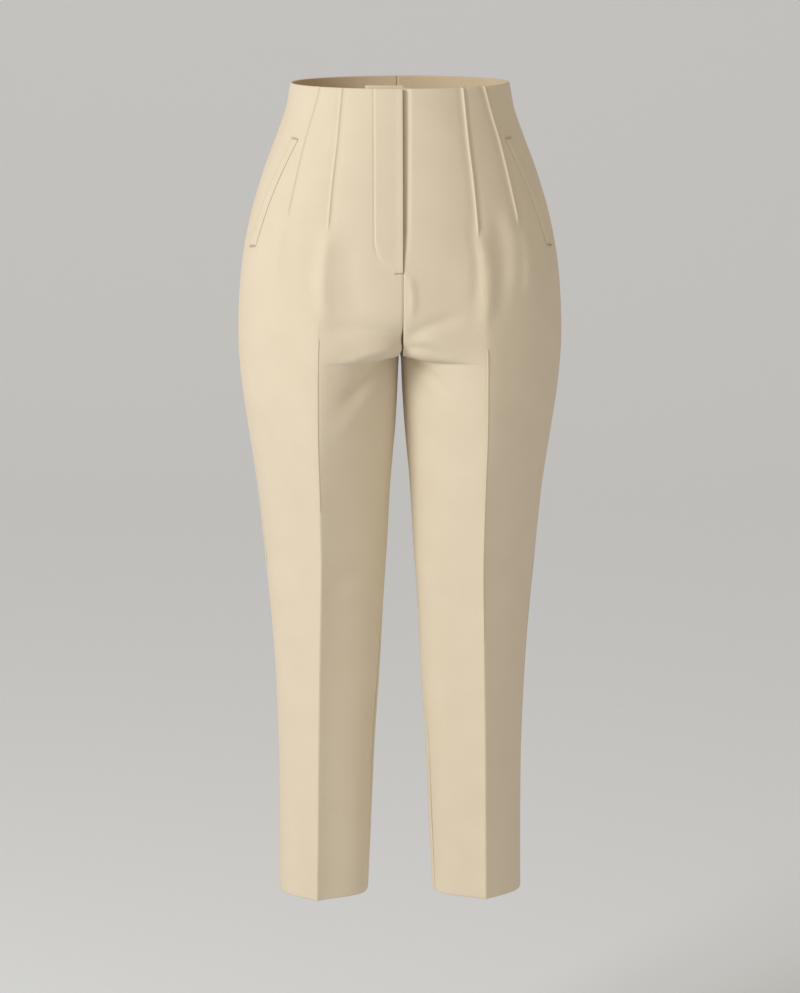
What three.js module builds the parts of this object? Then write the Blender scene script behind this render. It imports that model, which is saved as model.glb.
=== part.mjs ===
// High-waisted, ankle-length cigarette trousers, worn by nobody: a hollow cloth form held at the waist.
// Millimetres, +Z up. The origin is the middle of the waist opening, at the height of the rim.
// The front faces -Y and the wearer's left side is +X. Every cloth piece is a thin closed wall.
// A level cut through one side of the body is four curves that meet at the side seam, the front
// crease, the inner edge and the back crease. Tables give those meeting points from waist to hem.

import * as THREE from "three";

// Driving dimensions.
const LENGTH = 960; // rim to hem, measured down the side
const FORK = -313; // height where the four panels meet between the legs
const FORK_Y = 8;
const RISE_BEND = -215; // height where the centre seams begin to curve under
const WALL = 1.6; // a panel with its seam allowances
const THIN = 1.2; // facings, welts and hem turn-ups
const GAP = 0.3; // between pieces that are sewn together
const HANDLE = 0.37; // share of a chord that a section curve's handle takes

const TUCK_HEIGHT = 2.2; // how far a stitched tuck stands off the front
const TUCK_WIDTH = 5;
const OUTER_TUCK_END = -157;
const INNER_TUCK_END = -170;
const TUCK_FADE = 14;
const TUCK_GIRTH = 150; // about how far round the front a tuck's width is shared out

const FLY_WIDTH = 33; // free edge to the row of stitching
const FLY_BEND = -169; // height where the stitching turns into its J
const FLY_END = -207;
const FLY_DROP = 3.3; // how far the left front lies under the lap
const FLY_DROP_WIDTH = 14;
const FLY_DROP_FADE = 28; // the step dies away over this height at the fly's foot
const SHIELD_WIDTH = 42;
const SHIELD_TOP = 3; // the shield's end stands this far above the rim
const SHIELD_REACH = 12; // how far it goes behind the left front

const FACING_DEPTH = 60;
const HEM_DEPTH = 25;
const WELT_WIDTH = 7;
const WELT_BOW = 4;
const WELT = { topX: 121, topZ: -60, lowX: 170, lowZ: -183 };

const ZIP_X = -9; // middle of the chain
const TAPE_HALF = 14;
const CHAIN_HALF = 2.5;
const ZIP_TOP = -8;
const SLIDER = { half: 4.5, top: -11, low: -24 };
const TAB = { half: 2.5, top: -24.4, low: -44 };

// One row for each level cut: side seam, outer tuck, front crease, back crease. The angles, in
// degrees, say how far the cloth turns back from the X axis on the outer and inner side of a crease.
const SECTION_COLUMNS = [
  "z", "sideX", "sideY", "sideTilt", "tuckX",
  "frontX", "frontY", "frontOut", "frontIn",
  "backX", "backY", "backOut", "backIn",
];
const SECTIONS = [
  [0, 126, 2, 0, 93, 68, -77, 26, -26, 62, 81, 22, -22],
  [-30, 131.5, 1, 0, 101, 71, -82, 25, -25, 65, 86, 21, -21],
  [-60, 142, 0, 1, 110, 74, -88, 24, -24, 68, 92, 21, -19],
  [-100, 157, -2, 2, 120, 79, -93.5, 22, -21, 74, 102, 22, -15],
  [-150, 172, -3, 3, 131, 84, -97.5, 20, -18, 82, 116, 26, -12],
  [-200, 182, -4, 4, 139, 88, -100, 20, -12, 88, 123, 29, -7],
  [-250, 187, -4, 5, 142, 94, -102, 24, -3, 90, 122, 30, 0],
  [-300, 188, -4, 6, 144, 97, -102.5, 28, 8, 89, 113, 30, 9],
  [-350, 184, -4, 6, 142, 97.5, -101, 30, 16, 87, 103, 30, 16],
  [-400, 176.5, -5, 7, 138, 97.3, -97.5, 32, 22, 84, 94, 31, 22],
  [-470, 166, -6, 8, 132, 95.3, -90, 34, 28, 81, 83, 33, 27],
  [-560, 157, -6, 8, 126, 94, -80, 36, 32, 78, 72, 35, 31],
  [-660, 149, -6, 8, 123, 95.8, -72.5, 38, 34, 76.5, 66, 37, 34],
  [-780, 144.5, -6, 8, 121.5, 97.6, -67.5, 39, 35, 77, 63, 38, 35],
  [-880, 143.5, -6, 8, 121.5, 98.7, -64.5, 40, 36, 78.5, 61, 39, 36],
  [-960, 143.8, -6, 8, 122, 99.8, -61.5, 40, 36, 80, 60, 39, 36],
];

// The centre seams above the bend, and the inner leg seam below the fork.
const CENTRE_COLUMNS = ["z", "frontY", "backY"];
const CENTRE = [
  [0, -92, 92],
  [-60, -101, 102],
  [-100, -106, 113],
  [-150, -109, 124],
  [-215, -109, 129],
];
const INSEAM_COLUMNS = ["z", "x", "y", "tilt"];
const INSEAM = [
  [-313, 0.15, 8, 0],
  [-330, 1.9, 6, 0.5],
  [-360, 3.2, 2, 2],
  [-400, 5.6, -3, 4],
  [-465, 11.3, -9, 8],
  [-537, 15.8, -13, 11],
  [-609, 21.5, -16, 14],
  [-682, 26.2, -18, 16],
  [-779, 33, -20, 17],
  [-878, 37, -20, 18],
  [-960, 40.4, -20, 18],
];

// Heights of the rows of a panel's facets. Facings, welts and hems end on some of them.
const PANEL_ROWS = [
  0, -30, -FACING_DEPTH, -90, -118, -143, -157, FLY_BEND, WELT.lowZ, -200, RISE_BEND, -240, -262,
  -281, -295, -304, -309.5, -312.4, -322, -345, -380, -430, -500, -580, -670, -770, -870,
  -LENGTH + HEM_DEPTH, -LENGTH,
];

// A smooth curve through one column of a table.
function read(table, names, name, z) {
  const k = names.indexOf(name);
  const last = table.length - 1;
  if (z >= table[0][0]) return table[0][k];
  if (z <= table[last][0]) return table[last][k];
  let i = 0;
  while (table[i + 1][0] > z) i += 1;
  const slope = (a, b) => (table[b][k] - table[a][k]) / (table[b][0] - table[a][0]);
  const here = slope(i, i + 1);
  const before = i > 0 ? (slope(i - 1, i) + here) / 2 : here;
  const after = i + 1 < last ? (slope(i + 1, i + 2) + here) / 2 : here;
  const h = table[i + 1][0] - table[i][0];
  const t = (z - table[i][0]) / h;
  const a = table[i][k];
  const b = table[i + 1][k];
  return (
    a * (1 + 2 * t) * (1 - t) ** 2 + before * h * t * (1 - t) ** 2 +
    b * t * t * (3 - 2 * t) + after * h * t * t * (t - 1)
  );
}

const section = (name, z) => read(SECTIONS, SECTION_COLUMNS, name, z);
const inseam = (name, z) => read(INSEAM, INSEAM_COLUMNS, name, z);
const smooth = (t) => THREE.MathUtils.smoothstep(t, 0, 1);
const direction = (degrees) => {
  const a = THREE.MathUtils.degToRad(degrees);
  return new THREE.Vector2(Math.cos(a), Math.sin(a));
};

// Where a panel ends on the inside, and which way it runs there: at the centre seam above the
// fork, which curves under from front or back, and at the inner leg seam below.
function innerEnd(face, z) {
  if (z < FORK) {
    const tilt = inseam("tilt", z);
    const at = new THREE.Vector2(inseam("x", z), inseam("y", z));
    return { at, away: direction(face === "front" ? tilt - 90 : tilt + 90) };
  }
  const front = face === "front";
  const name = front ? "frontY" : "backY";
  const top = read(CENTRE, CENTRE_COLUMNS, name, Math.max(z, RISE_BEND));
  const t = Math.min(1, Math.max(0, (RISE_BEND - z) / (RISE_BEND - FORK)));
  const power = front ? 3 : 2.3;
  const y = FORK_Y + (top - FORK_Y) * (1 - t ** power) ** (1 / power);
  const turn = 90 * t ** power;
  return { at: new THREE.Vector2(GAP / 2, y), away: direction(front ? -turn : turn) };
}

// The two curves of a panel's level cut, from side seam to crease and from crease to inner end.
function cut(face, z) {
  const front = face === "front";
  const s = front ? -1 : 1;
  const side = new THREE.Vector2(section("sideX", z), section("sideY", z));
  const crease = new THREE.Vector2(section(face + "X", z), section(face + "Y", z));
  const inner = innerEnd(face, z);
  const tilt = section("sideTilt", z);
  const fromSide = direction(front ? -90 - tilt : 90 - tilt);
  const outward = direction(-s * section(face + "Out", z));
  const inward = direction(180 + s * section(face + "In", z));
  const curve = (a, da, b, db) => {
    const h = HANDLE * a.distanceTo(b);
    const from = a.clone().addScaledVector(da, h);
    return new THREE.CubicBezierCurve(a, from, b.clone().addScaledVector(db, h), b);
  };
  return [curve(side, fromSide, crease, outward), curve(crease, inward, inner.at, inner.away)];
}

// The outward normal of a cut at u, where 0 is the side seam, 0.5 the crease and 1 the inner end.
function normalAt(curves, face, u) {
  const turn = face === "front" ? -1 : 1;
  const normal = (curve, t) => {
    const d = curve.getTangent(t);
    return new THREE.Vector2(turn * d.y, -turn * d.x);
  };
  if (Math.abs(u - 0.5) > 1e-6) {
    return u < 0.5 ? normal(curves[0], 2 * u) : normal(curves[1], 2 * u - 1);
  }
  const outer = normal(curves[0], 1);
  const both = outer.clone().add(normal(curves[1], 0)).normalize();
  return both.multiplyScalar(1 / both.dot(outer));
}

function pointAt(curves, u) {
  return u <= 0.5 ? curves[0].getPoint(2 * u) : curves[1].getPoint(2 * u - 1);
}

// The u where a front or back cut reaches a given distance from the centre plane.
function reach(face, x, z) {
  const curves = cut(face, z);
  let low = 0;
  let high = 1;
  for (let i = 0; i < 30; i += 1) {
    const u = (low + high) / 2;
    if (pointAt(curves, u).x > x) low = u;
    else high = u;
  }
  return (low + high) / 2;
}

// A point of the form: mirror is 1 for the left side and -1 for the right, depth goes inward.
function place(face, mirror, u, z, depth) {
  const curves = cut(face, Math.min(0, z));
  const p = pointAt(curves, u).addScaledVector(normalAt(curves, face, u), -depth);
  return new THREE.Vector3(mirror * p.x, p.y, z);
}

// A closed wall between an outer and an inner grid of points. A ring joins its last column
// to its first, and an open strip gets a wall down each end.
function wallMesh(name, outer, inner, color, ring = false) {
  const rows = outer.length;
  const cols = outer[0].length;
  const positions = [...outer.flat(), ...inner.flat()].flatMap((p) => p.toArray());
  const at = (layer, r, c) => layer * rows * cols + r * cols + (c % cols);
  const index = [];
  const quad = (a, b, c, d) => index.push(a, b, c, a, c, d);
  const steps = ring ? cols : cols - 1;
  for (let c = 0; c < steps; c += 1) {
    for (let r = 0; r < rows - 1; r += 1) {
      quad(at(0, r, c), at(0, r + 1, c), at(0, r + 1, c + 1), at(0, r, c + 1));
      quad(at(1, r, c), at(1, r, c + 1), at(1, r + 1, c + 1), at(1, r + 1, c));
    }
    quad(at(0, 0, c), at(0, 0, c + 1), at(1, 0, c + 1), at(1, 0, c));
    const r = rows - 1;
    quad(at(0, r, c), at(1, r, c), at(1, r, c + 1), at(0, r, c + 1));
  }
  for (let r = 0; r < rows - 1 && !ring; r += 1) {
    quad(at(0, r, 0), at(1, r, 0), at(1, r + 1, 0), at(0, r + 1, 0));
    const c = cols - 1;
    quad(at(0, r, c), at(0, r + 1, c), at(1, r + 1, c), at(1, r, c));
  }
  const geometry = new THREE.BufferGeometry();
  geometry.setAttribute("position", new THREE.Float32BufferAttribute(positions, 3));
  geometry.setIndex(volume(positions, index) < 0 ? index.reverse() : index);
  geometry.computeVertexNormals();
  const material = new THREE.MeshStandardMaterial({ color, roughness: 0.9, metalness: 0 });
  const mesh = new THREE.Mesh(geometry, material);
  mesh.name = name;
  return mesh;
}

function volume(positions, index) {
  const corner = (i) => new THREE.Vector3().fromArray(positions, 3 * i);
  let sum = 0;
  for (let i = 0; i < index.length; i += 3) {
    const [a, b, c] = [corner(index[i]), corner(index[i + 1]), corner(index[i + 2])];
    sum += a.dot(b.cross(c)) / 6;
  }
  return sum;
}

// How far a front stands off its plain form: up along its tucks, down where the fly laps over it.
function frontLift(mirror, kind, x, z) {
  const end = kind === "tuck" ? OUTER_TUCK_END : INNER_TUCK_END;
  const tuck = kind === "plain" ? 0 : TUCK_HEIGHT * smooth((z - end) / TUCK_FADE);
  if (mirror < 0 || z < FLY_END) return tuck;
  const across = smooth(1 - x / FLY_DROP_WIDTH);
  return tuck - FLY_DROP * across * smooth((z - FLY_END) / FLY_DROP_FADE);
}

// The share of a cut that half a seam gap takes at its side, and at its inner end below the fork.
const seamShare = (face, z) => GAP / 2 / cut(face, z)[0].getLength() / 2;
const innerShare = (face, z) => (z < FORK ? GAP / 2 / cut(face, z)[1].getLength() / 2 : 0);

const between = (a, b, n) => Array.from({ length: n }, (_, i) => a + ((b - a) * (i + 1)) / (n + 1));

function weltMiddle(z) {
  const t = (z - WELT.topZ) / (WELT.lowZ - WELT.topZ);
  return THREE.MathUtils.lerp(WELT.topX, WELT.lowX, t) + WELT_BOW * Math.sin(Math.PI * t);
}

// The columns of a front, in order from the side seam. Some run along the edges of what is sewn
// on it, and a close pair beside each tuck makes it stand up crisply.
const WELT_FROM = 2;
const WELT_TO = 3;
const FLY_LINE = 14;
const DROP_LINE = 15;
function frontColumns(z) {
  const onWelt = THREE.MathUtils.clamp(z, WELT.lowZ, WELT.topZ);
  const weltEdge = (s) => reach("front", weltMiddle(onWelt) + (s * WELT_WIDTH) / 2, onWelt);
  const onFly = (x) => reach("front", x, Math.max(z, FLY_BEND));
  const tuck = reach("front", section("tuckX", z), z);
  const half = TUCK_WIDTH / 2 / TUCK_GIRTH;
  const start = seamShare("front", z);
  const plain = (list) => list.map((u) => ({ u, kind: "plain" }));
  return [
    ...plain([start, weltEdge(1) / 2, weltEdge(1), weltEdge(-1)]),
    ...plain([...between(weltEdge(-1), tuck - half, 1), tuck - half]),
    { u: tuck, kind: "tuck" },
    ...plain([tuck + half, ...between(tuck + half, 0.5 - half, 1), 0.5 - half]),
    { u: 0.5, kind: "crease" },
    ...plain([0.5 + half, ...between(0.5 + half, onFly(FLY_WIDTH), 2), onFly(FLY_WIDTH)]),
    ...plain([onFly(FLY_DROP_WIDTH), onFly(FLY_DROP_WIDTH / 2), 1 - innerShare("front", z)]),
  ];
}

const BACK_STEPS = 14;
function backColumns(z) {
  const start = seamShare("back", z);
  const end = 1 - innerShare("back", z);
  const middle = between(0, 1, BACK_STEPS - 1);
  return [start, ...middle, end].map((u) => ({ u, kind: "plain" }));
}

const columnsOf = (face, z) => (face === "front" ? frontColumns(z) : backColumns(z));

// A piece of cloth over some rows and columns of a panel, at a depth below its outer face.
function piece(name, face, mirror, span, depth, thickness, color) {
  const rows = PANEL_ROWS.filter((z) => z <= span.top && z >= span.low);
  const layer = (d) => rows.map((z) => {
    const columns = columnsOf(face, z).slice(span.from, span.to + 1);
    return columns.map(({ u, kind }) => {
      const lift = span.lifted ? frontLift(mirror, kind, pointAt(cut(face, z), u).x, z) : 0;
      return place(face, mirror, u, z, d - lift);
    });
  });
  return wallMesh(name, layer(depth), layer(depth + thickness), color);
}

const front = (name, mirror, color) => {
  const span = { top: 0, low: -LENGTH, from: 0, to: 99, lifted: true };
  return piece(name, "front", mirror, span, 0, WALL, color);
};

const back = (name, mirror, color) => {
  const span = { top: 0, low: -LENGTH, from: 0, to: 99 };
  return piece(name, "back", mirror, span, 0, WALL, color);
};

const facing = (name, face, mirror, to, color) => {
  const span = { top: 0, low: -FACING_DEPTH, from: 0, to };
  return piece(name, face, mirror, span, WALL + GAP, THIN, color);
};

const welt = (name, mirror, color) => {
  const span = { top: WELT.topZ, low: WELT.lowZ, from: WELT_FROM, to: WELT_TO };
  return piece(name, "front", mirror, span, -GAP - THIN, THIN, color);
};

function hem(name, mirror, color) {
  const layer = (depth) => [-LENGTH + HEM_DEPTH, -LENGTH].map((z) => [
    ...frontColumns(z).map(({ u }) => place("front", mirror, u, z, depth)),
    ...backColumns(z).reverse().map(({ u }) => place("back", mirror, u, z, depth)),
  ]);
  return wallMesh(name, layer(WALL + GAP), layer(WALL + GAP + THIN), color, true);
}

// A point on the flat facets of the front, at a distance from the centre plane (left is positive).
function onFacets(x, z, depth) {
  const mirror = x < 0 ? -1 : 1;
  const low = PANEL_ROWS.find((row) => row < Math.min(z, -0.001));
  const high = PANEL_ROWS[PANEL_ROWS.indexOf(low) - 1];
  const y = (row) => {
    const points = frontColumns(row).map(({ u }) => place("front", 1, u, row, depth));
    const i = Math.max(1, points.findIndex((p) => p.x < Math.abs(x)));
    const end = points.findIndex((p) => p.x < Math.abs(x)) < 0 ? points.length - 1 : i;
    const [a, b] = [points[end - 1], points[end]];
    const t = Math.min(1, (a.x - Math.abs(x)) / (a.x - b.x));
    return THREE.MathUtils.lerp(a.y, b.y, t);
  };
  const t = (high - Math.min(0, z)) / (high - low);
  return new THREE.Vector3(x, THREE.MathUtils.lerp(y(high), y(low), t), z);
}

// A strip of the fly, whose columns may move with the height.
function strip(name, rows, xs, depth, thickness, color) {
  const layer = (d) => rows.map((z) => xs(z).map((x) => onFacets(x, z, d)));
  return wallMesh(name, layer(depth), layer(depth + thickness), color);
}

// The fly's facing ends in a quarter of an ellipse, as its stitching does.
function flyFacing(name, color) {
  const bend = [0.37, 0.7, 0.88, 0.97].map((t) => THREE.MathUtils.lerp(FLY_BEND, FLY_END, t));
  const rows = [0, -30, -FACING_DEPTH, -90, -118, -143, -157, FLY_BEND, ...bend];
  const xs = (z) => {
    const t = Math.max(0, (FLY_BEND - z) / (FLY_BEND - FLY_END));
    const width = (FLY_WIDTH - 4 * GAP) * Math.sqrt(1 - t * t);
    return [1, 0.42, 0.21, 0].map((share) => -GAP - share * width);
  };
  return strip(name, rows, xs, WALL + GAP, THIN, color);
}

const CLOTH = 0xd9c9af;
const FACING = 0xc8b496;
const TAPE = 0xcbbd9f;
const METAL = 0xb9ad92;
const TAPE_DEPTH = FLY_DROP + WALL + GAP; // the tape lies behind the left front's edge
const CHAIN_RISE = 0.6;
const SHIELD_DEPTH = TAPE_DEPTH + 1 + GAP;

function zip(name, color) {
  const rows = [
    ZIP_TOP, SLIDER.low, SLIDER.low - GAP, -45, -60, -90, -118, -143, -157, FLY_BEND, FLY_END + 4,
  ];
  const xs = [
    ZIP_X - TAPE_HALF, -14, ZIP_X - CHAIN_HALF - 0.5, ZIP_X - CHAIN_HALF,
    ZIP_X + CHAIN_HALF, ZIP_X + CHAIN_HALF + 0.5, -0.1, ZIP_X + TAPE_HALF,
  ];
  const layer = (depth, rise) => rows.map((z) => xs.map((x) => {
    const onChain = Math.abs(x - ZIP_X) <= CHAIN_HALF && z < SLIDER.low;
    return onFacets(x, z, onChain ? depth - rise : depth);
  }));
  return wallMesh(name, layer(TAPE_DEPTH, CHAIN_RISE), layer(TAPE_DEPTH + 1, 0), color);
}

function zipPart(name, size, depth, thickness, color) {
  const xs = () => [ZIP_X - size.half, ZIP_X + size.half];
  const mesh = strip(name, [size.top, size.low], xs, depth, thickness, color);
  mesh.material.metalness = 1;
  mesh.material.roughness = 0.4;
  return mesh;
}

const facingInner = WALL + GAP + THIN + GAP;

function shield(name, color) {
  const rows = [SHIELD_TOP, 0, -30, -60, -90, -118, -143, -157, FLY_BEND, FLY_END];
  const xs = [-SHIELD_WIDTH, -FLY_WIDTH, -14, -7, 0, 7, SHIELD_REACH];
  return strip(name, rows, () => xs, SHIELD_DEPTH, WALL, color);
}

const trousers = new THREE.Group();
trousers.name = "cigarette_trousers";
trousers.add(
  front("front_right", -1, CLOTH),
  front("front_left", 1, CLOTH),
  back("back_right", -1, CLOTH),
  back("back_left", 1, CLOTH),
  facing("facing_front_right", "front", -1, FLY_LINE, FACING),
  facing("facing_front_left", "front", 1, DROP_LINE, FACING),
  facing("facing_back_right", "back", -1, BACK_STEPS, FACING),
  facing("facing_back_left", "back", 1, BACK_STEPS, FACING),
  flyFacing("fly_facing", FACING),
  shield("fly_shield", CLOTH),
  zip("fly_zip", TAPE),
  zipPart("zip_slider", SLIDER, facingInner, 1.5, METAL),
  zipPart("zip_pull_tab", TAB, facingInner, 0.9, METAL),
  welt("pocket_welt_right", -1, CLOTH),
  welt("pocket_welt_left", 1, CLOTH),
  hem("hem_right", -1, FACING),
  hem("hem_left", 1, FACING),
);

export default trousers;
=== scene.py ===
# %% [markdown]
# Cigarette trousers, filled out with no wearer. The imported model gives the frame, and every piece of
# cloth here is a thin shell on the same form, made finer, with its folds, seams and stitches.

# %% Load the frame
import math

import bmesh
import bpy
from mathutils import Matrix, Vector


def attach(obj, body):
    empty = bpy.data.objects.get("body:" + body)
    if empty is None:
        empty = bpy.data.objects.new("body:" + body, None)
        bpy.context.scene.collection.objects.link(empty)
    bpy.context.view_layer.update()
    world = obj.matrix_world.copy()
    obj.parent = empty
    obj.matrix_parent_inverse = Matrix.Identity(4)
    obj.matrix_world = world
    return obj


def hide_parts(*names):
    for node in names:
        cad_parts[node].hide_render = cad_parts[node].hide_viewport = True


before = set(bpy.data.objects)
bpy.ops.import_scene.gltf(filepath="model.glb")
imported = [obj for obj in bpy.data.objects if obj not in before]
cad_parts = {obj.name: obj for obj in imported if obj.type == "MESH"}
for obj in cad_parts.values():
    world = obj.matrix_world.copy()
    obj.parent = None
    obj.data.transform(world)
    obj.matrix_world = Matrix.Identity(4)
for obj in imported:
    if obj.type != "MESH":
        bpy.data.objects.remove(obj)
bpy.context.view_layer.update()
MM = 0.001
LENGTH = 960.0

# %% [markdown]
# The camera stands a little above the waist and looks slightly down, so that the inside of the back
# rim shows. A long lens keeps both legs parallel, as in a shop's picture of a garment.

# %% Camera
CAMERA_DISTANCE = 4.25
CAMERA_HEIGHT = 0.355
CAMERA_YAW = math.radians(2.0)
LENS_MM = 133.8
AIM = Vector((0.0, 0.0, -0.4853))

camera_data = bpy.data.cameras.new("camera")
camera_data.lens = LENS_MM
camera = bpy.data.objects.new("camera", camera_data)
bpy.context.scene.collection.objects.link(camera)
camera.location = (
    -CAMERA_DISTANCE * math.sin(CAMERA_YAW),
    -CAMERA_DISTANCE * math.cos(CAMERA_YAW),
    CAMERA_HEIGHT,
)
camera.rotation_euler = (AIM - camera.location).to_track_quat("-Z", "Y").to_euler()
bpy.context.scene.camera = camera
bpy.context.scene.view_settings.view_transform = "Standard"

# %% [markdown]
# A studio sweep is one sheet of paper that curves from floor to wall, so there is no horizon. The key
# light is a large soft box at the viewer's left. The room fills the shaded side a little warmly, as
# light does between folds of beige cloth, and the paper is a cooler grey so that it reads neutral.

# %% Studio
FLOOR_Z = -1.25
SWEEP_HALF = 9.0
CURVE_START = 3.8
CURVE_RADIUS = 1.4
CURVE_STEPS = 12
WALL_TOP = 7.0
GARMENT_MIDDLE = Vector((0, 0, -0.45))
KEY_WATTS = 62.0
FILL_WATTS = 6.5
ROOM_LEVEL = 0.49
ROOM_COLOUR = (1.0, 0.87, 0.74, 1.0)


def linear(hex_colour):
    """An sRGB hex colour as linear red, green, blue and alpha."""
    def one(pair):
        c = int(pair, 16) / 255
        return c / 12.92 if c <= 0.04045 else ((c + 0.055) / 1.055) ** 2.4
    return [one(hex_colour[i:i + 2]) for i in (1, 3, 5)] + [1.0]


def add_node(tree, kind, settings=None, values=None, links=None):
    """Adds a node, sets its properties and input values, and links inputs from other sockets."""
    node = tree.nodes.new(kind)
    for name, value in (settings or {}).items():
        setattr(node, name, value)
    for name, value in (values or {}).items():
        node.inputs[name].default_value = value
    for name, socket in (links or {}).items():
        tree.links.new(socket, node.inputs[name])
    return node


def new_material(name):
    """An empty node material and its tree."""
    material = bpy.data.materials.new(name)
    material.use_nodes = True
    material.node_tree.nodes.clear()
    return material, material.node_tree


def finish_material(tree, shader):
    """Sends a shader to the surface output."""
    add_node(tree, "ShaderNodeOutputMaterial", links={"Surface": shader.outputs[0]})


paper, paper_tree = new_material("matt_backdrop_paper")
# A studio lights its backdrop apart from the garment, so the paper has a faint even glow.
paper_shader = add_node(
    paper_tree, "ShaderNodeBsdfPrincipled",
    values={
        "Base Color": linear("#D3D9DE"), "Roughness": 0.95,
        "Emission Color": linear("#FFFFFB"), "Emission Strength": 0.15,
    },
)
finish_material(paper_tree, paper_shader)

sweep_mesh = bpy.data.meshes.new("sweep")
bm = bmesh.new()
side_view = [(-SWEEP_HALF, FLOOR_Z)]
for k in range(CURVE_STEPS + 1):
    turn = math.radians(90 * k / CURVE_STEPS)
    side_view.append((
        CURVE_START + CURVE_RADIUS * math.sin(turn), FLOOR_Z + CURVE_RADIUS * (1 - math.cos(turn))
    ))
side_view.append((CURVE_START + CURVE_RADIUS, WALL_TOP))
edge = [bm.verts.new((-SWEEP_HALF, y, z)) for y, z in side_view]
line = [bm.edges.new(pair) for pair in zip(edge, edge[1:])]
pulled = bmesh.ops.extrude_edge_only(bm, edges=line)
moved = [v for v in pulled["geom"] if isinstance(v, bmesh.types.BMVert)]
bmesh.ops.translate(bm, verts=moved, vec=(2 * SWEEP_HALF, 0, 0))
for face in bm.faces:
    face.smooth = True
bm.to_mesh(sweep_mesh)
bm.free()
sweep = bpy.data.objects.new("studio_sweep", sweep_mesh)
sweep_mesh.materials.append(paper)
bpy.context.scene.collection.objects.link(sweep)


def soft_box(name, place, size, watts):
    """A square area light that faces the middle of the garment."""
    data = bpy.data.lights.new(name, "AREA")
    data.energy = watts
    data.size = size
    light = bpy.data.objects.new(name, data)
    light.location = place
    light.rotation_euler = (GARMENT_MIDDLE - light.location).to_track_quat("-Z", "Y").to_euler()
    bpy.context.scene.collection.objects.link(light)


soft_box("key", (-2.3, -1.9, 0.9), 1.3, KEY_WATTS)
soft_box("fill", (1.6, -3.0, 0.2), 2.0, FILL_WATTS)
world = bpy.data.worlds.new("room")
bpy.context.scene.world = world
world.use_nodes = True
world.node_tree.nodes["Background"].inputs["Color"].default_value = ROOM_COLOUR
world.node_tree.nodes["Background"].inputs["Strength"].default_value = ROOM_LEVEL

# %% [markdown]
# The cloth is a beige cotton twill with a little stretch. It is matt, with a faint soft sheen from
# its short fibres. Real twill ribs are about 0.4 mm apart, too fine to show from here, so they are
# drawn at 1.1 mm and kept shallow. The pattern follows each piece's own UV map, in metres.

# %% Cloth materials
RIB = 1.1 * MM


def twill(name, colour, dark):
    """A woven twill: diagonal ribs, slubs in the yarn and a slow unevenness of tone."""
    material, tree = new_material(name)
    uv = add_node(tree, "ShaderNodeUVMap", {"uv_map": "cloth"})
    turned = add_node(
        tree, "ShaderNodeMapping", values={"Rotation": (0, 0, math.radians(27))},
        links={"Vector": uv.outputs["UV"]},
    )
    ribs = add_node(
        tree, "ShaderNodeTexWave", {"bands_direction": "X"},
        {"Scale": 0.314 / RIB, "Distortion": 0.5, "Detail": 2.0, "Detail Scale": 3.0},
        {"Vector": turned.outputs["Vector"]},
    )
    slubs = add_node(
        tree, "ShaderNodeTexNoise", values={"Scale": 900.0, "Detail": 3.0},
        links={"Vector": uv.outputs["UV"]},
    )
    cloudy = add_node(
        tree, "ShaderNodeTexNoise", values={"Scale": 22.0, "Detail": 3.0, "Roughness": 0.55},
        links={"Vector": uv.outputs["UV"]},
    )
    tone = add_node(
        tree, "ShaderNodeMapRange",
        values={"From Min": 0.3, "From Max": 0.7, "To Min": 0.0, "To Max": 0.35},
        links={"Value": cloudy.outputs["Fac"]},
    )
    colours = add_node(
        tree, "ShaderNodeMix", {"data_type": "RGBA"}, links={"Factor": tone.outputs["Result"]}
    )
    colours.inputs["A"].default_value = linear(colour)
    colours.inputs["B"].default_value = linear(dark)
    both = add_node(
        tree, "ShaderNodeMath", {"operation": "MULTIPLY_ADD"}, {1: 0.5},
        {0: slubs.outputs["Fac"], 2: ribs.outputs["Fac"]},
    )
    bump = add_node(
        tree, "ShaderNodeBump", values={"Strength": 0.16, "Distance": 0.0003},
        links={"Height": both.outputs["Value"]},
    )
    shader = add_node(
        tree, "ShaderNodeBsdfPrincipled",
        values={
            "Roughness": 0.86, "Sheen Weight": 0.12, "Sheen Roughness": 0.55,
            "Specular IOR Level": 0.25,
        },
        links={"Base Color": colours.outputs["Result"], "Normal": bump.outputs["Normal"]},
    )
    finish_material(tree, shader)
    return material


TWILL = twill("beige_cotton_twill", "#DCD0B9", "#D3C6AD")
# Painted light: the reverse face is warmer than the outer face and set bright, to paint the warm bounce
# light that lifts the shade inside the waist, where the facings show.
REVERSE_PAINTED_BOUNCE = twill("beige_twill_reverse_painted_bounce_light", "#DECBAD", "#D3C0A0")
TAPE = twill("woven_zip_tape", "#CBBB9C", "#BFAE8E")
THREAD = twill("polyester_sewing_thread", "#D2C2A6", "#C6B598")

# Pale brass, die cast and tumbled: soft gloss with a fine grain.
BRASS, brass_tree = new_material("tumbled_pale_brass")
brass_place = add_node(brass_tree, "ShaderNodeTexCoord")
brass_grain = add_node(
    brass_tree, "ShaderNodeTexNoise", values={"Scale": 1800.0, "Detail": 2.0},
    links={"Vector": brass_place.outputs["Object"]},
)
brass_bump = add_node(
    brass_tree, "ShaderNodeBump", values={"Strength": 0.1, "Distance": 0.0001},
    links={"Height": brass_grain.outputs["Fac"]},
)
brass_shader = add_node(
    brass_tree, "ShaderNodeBsdfPrincipled",
    values={"Base Color": linear("#C9B27C"), "Metallic": 1.0, "Roughness": 0.38},
    links={"Normal": brass_bump.outputs["Normal"]},
)
finish_material(brass_tree, brass_shader)

# %% [markdown]
# The form is the one that the solids have. A level cut of one side is four curves that meet at the
# side seam, the front crease, the inner edge and the back crease, and tables say where, in
# millimetres, from the waist down to the hem. Angles say how sharply a crease turns.

# %% The form's tables
FORK = -313.0
FORK_Y = 8.0
RISE_BEND = -215.0
HANDLE = 0.37
WALL = 1.6
GAP = 0.3

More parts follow.
